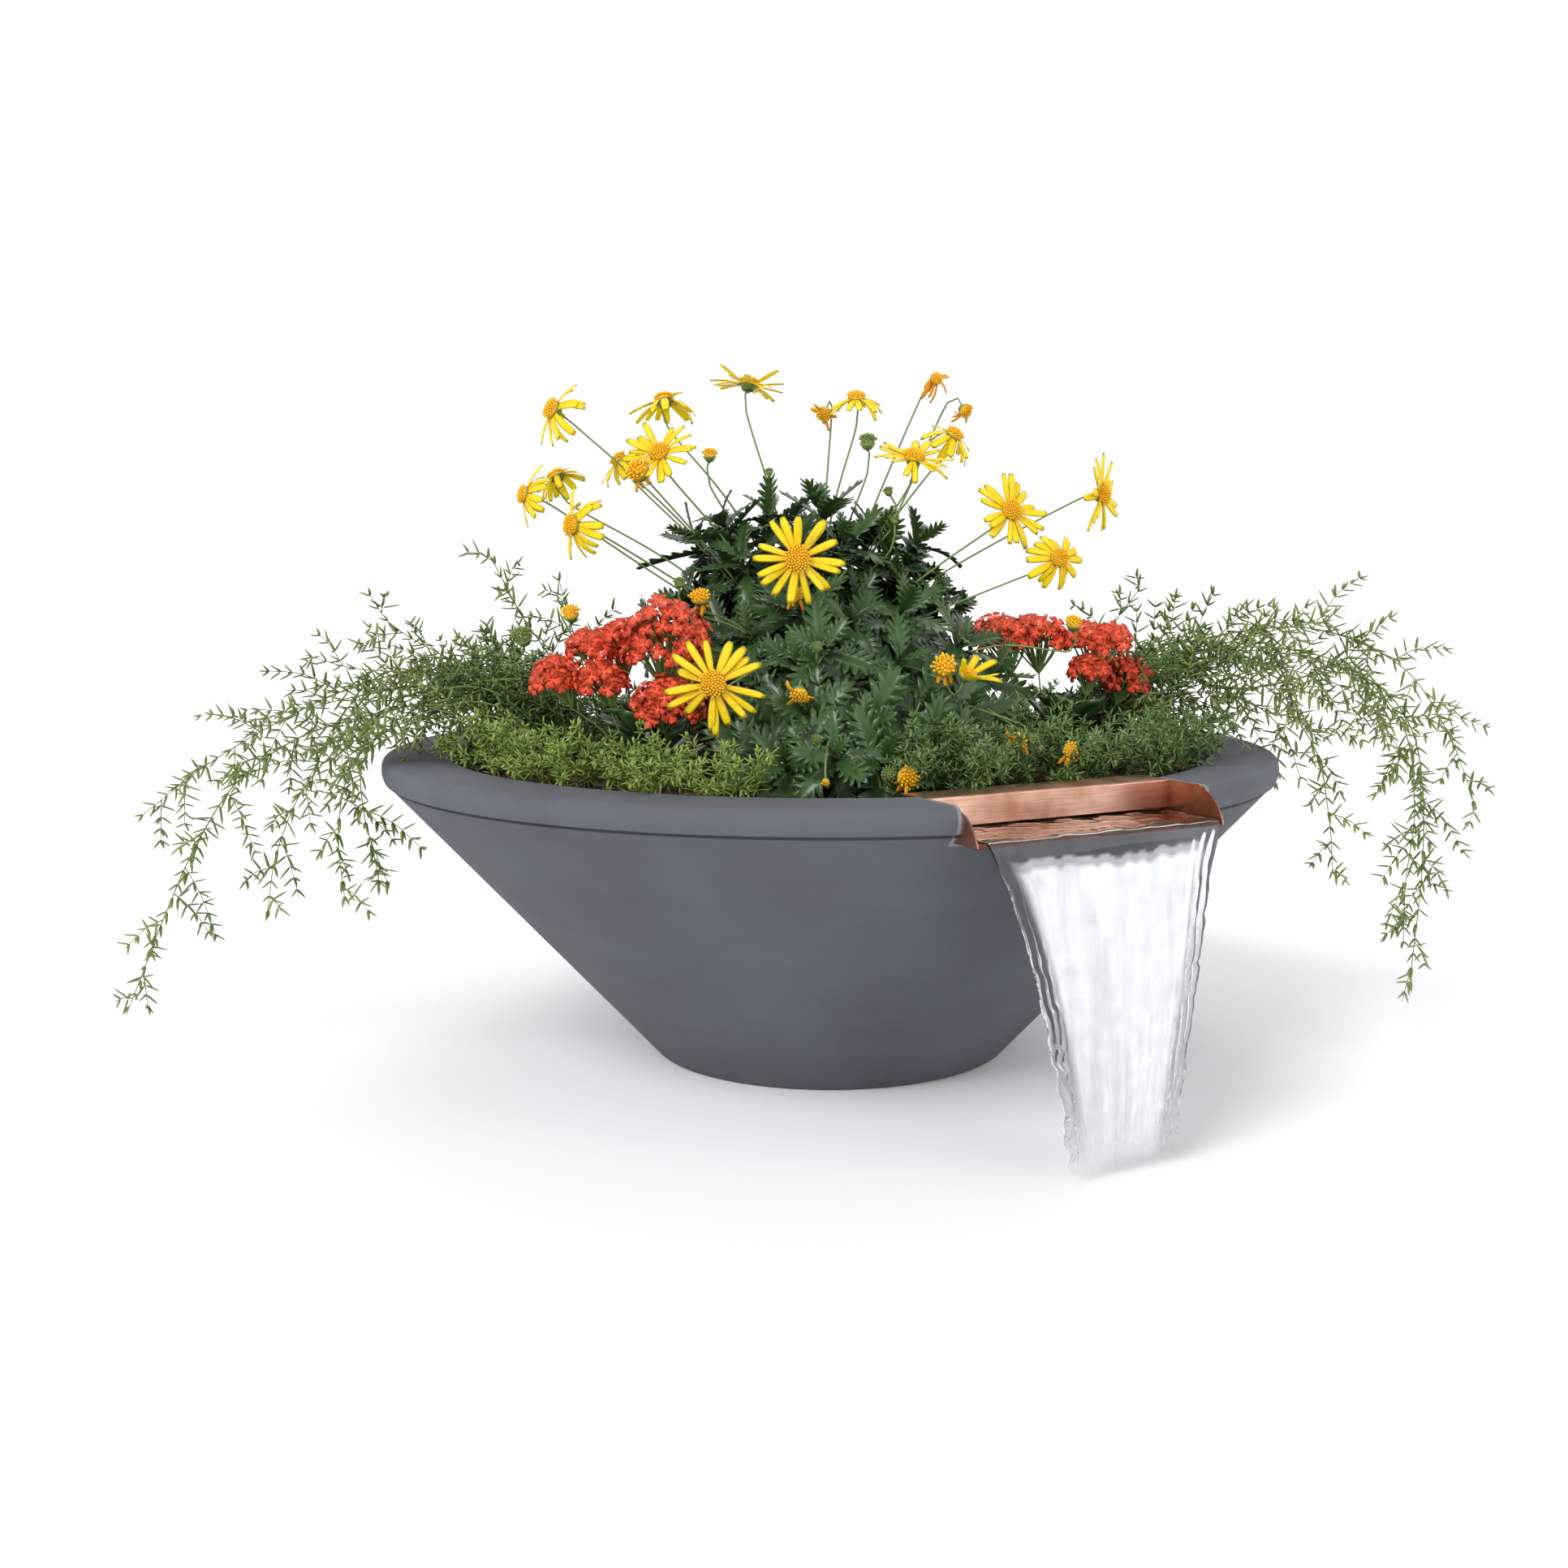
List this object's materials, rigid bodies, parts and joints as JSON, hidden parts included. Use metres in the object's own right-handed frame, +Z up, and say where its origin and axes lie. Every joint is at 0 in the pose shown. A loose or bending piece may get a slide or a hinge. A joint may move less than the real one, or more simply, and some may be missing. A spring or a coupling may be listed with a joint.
{
  "type": "planter bowl with spillway",
  "caption": "Round tapered concrete planter bowl with a rolled rim, a copper weir spillway notched through the rim and its riser pipe, filled with soil and flowering and trailing plants.",
  "frame": {"origin": "centre of the bowl's underside, on the drain's axis", "axes": "+Z up, the spillway pours towards -Y, +X to the right of someone facing the spillway"},
  "size_m": [1.2841, 0.9171, 0.7214],
  "materials": {
    "concrete": "matte",
    "copper": "satin",
    "solder": "satin",
    "sealant": "matte",
    "gasket": "matte",
    "brass_fitting": "satin",
    "strainer": "matte",
    "gravel": "matte",
    "soil": "matte",
    "bark": "matte",
    "leaf": "satin",
    "stem": "satin",
    "petal_yellow": "satin",
    "petal_red": "satin",
    "fern": "satin",
    "water": "gloss"
  },
  "bodies": {
    "root": {"bowl_shell": "concrete", "scupper_sealant": "sealant", "spillway_tray": "copper", "spillway_cheek_left": "copper", "spillway_cheek_right": "copper", "weir_cover": "copper", "water_box": "copper", "box_wings": "copper", "solder_seams": "solder", "supply_bulkhead": "brass_fitting", "supply_gasket": "gasket", "supply_nut": "brass_fitting", "drain_bulkhead": "brass_fitting", "drain_gasket": "gasket", "drain_nut": "brass_fitting", "drain_strainer": "strainer", "inlet_spigot": "copper", "riser_elbow_top": "copper", "riser_drop": "copper", "riser_elbow_middle": "copper", "riser_slope": "copper", "riser_elbow_bottom": "copper", "riser_tail": "copper", "gravel_layer": "gravel", "potting_soil": "soil", "mulch_layer": "bark", "daisy_foliage": "leaf", "daisy_stems": "stem", "daisy_blooms": "petal_yellow", "kalanchoe_left_leaves": "leaf", "kalanchoe_left_blooms": "petal_red", "kalanchoe_right_leaves": "leaf", "kalanchoe_right_blooms": "petal_red", "fern_front_left": "fern", "fern_front_right": "fern", "fern_side_right": "fern", "fern_back_right": "fern", "fern_back_left": "fern", "fern_crown_left": "fern", "fern_crown_right": "fern", "fern_trailing_left": "fern", "fern_trailing_right": "fern", "fern_sprays_left": "fern", "fern_sprays_right": "fern"}
  },
  "joints": []
}
